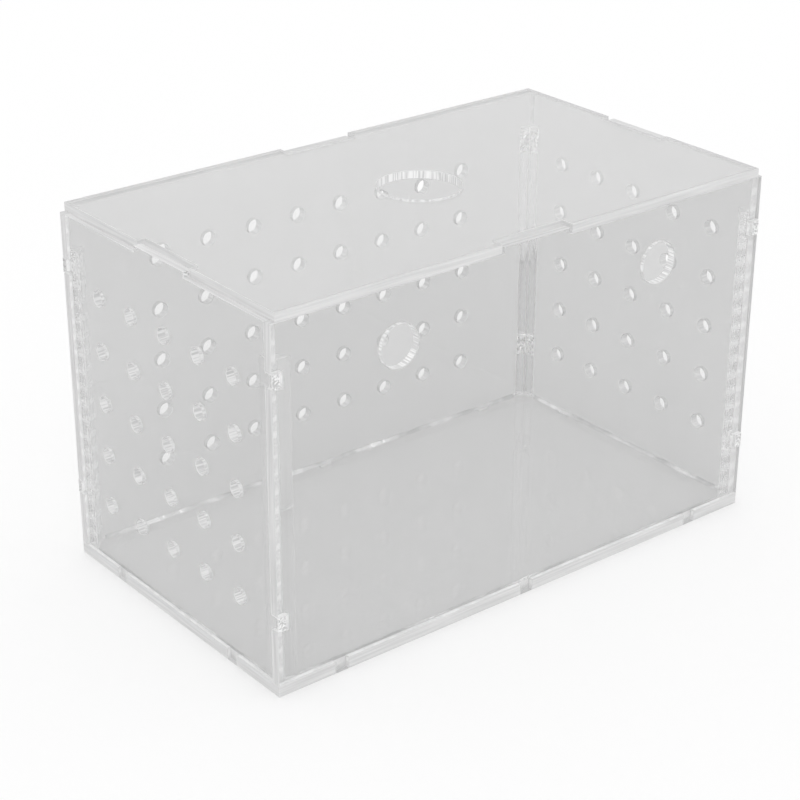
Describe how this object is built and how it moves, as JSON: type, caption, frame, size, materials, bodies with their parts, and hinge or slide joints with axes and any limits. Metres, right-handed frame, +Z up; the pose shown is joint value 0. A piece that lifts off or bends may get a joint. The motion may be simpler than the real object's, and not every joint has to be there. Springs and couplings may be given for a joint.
{
  "type": "fish breeding box",
  "caption": "Clear sheet isolation box for an aquarium, with vented walls, holes for suction cups and a loose lid with a feeding hole.",
  "frame": {"origin": "middle of the underside of the floor panel, on the plane that the box stands on", "axes": "+X along the box, -Y out of the face with the two suction cup holes, +Z up to the lid"},
  "size_m": [0.2, 0.1146, 0.126],
  "materials": {
    "wall_sheet": "clear polished acrylic sheet, laser cut edges",
    "floor_sheet": "clear polished acrylic sheet, laser cut edges",
    "corner_strip": "clear polished acrylic strip of three-cornered section",
    "lid_sheet": "clear polished acrylic sheet, laser cut edges"
  },
  "bodies": {
    "box": {"floor_panel": "floor_sheet", "front_panel": "wall_sheet", "back_panel": "wall_sheet", "left_end_panel": "wall_sheet", "right_end_panel": "wall_sheet", "front_left_strip": "corner_strip", "front_right_strip": "corner_strip", "back_left_strip": "corner_strip", "back_right_strip": "corner_strip"},
    "lid": {"lid_panel": "lid_sheet"}
  },
  "joints": [
    {"name": "lid_lift", "type": "slide", "parent": "box", "child": "lid", "axis": [0, 0, 1], "range_m": [0, 0.06]}
  ]
}
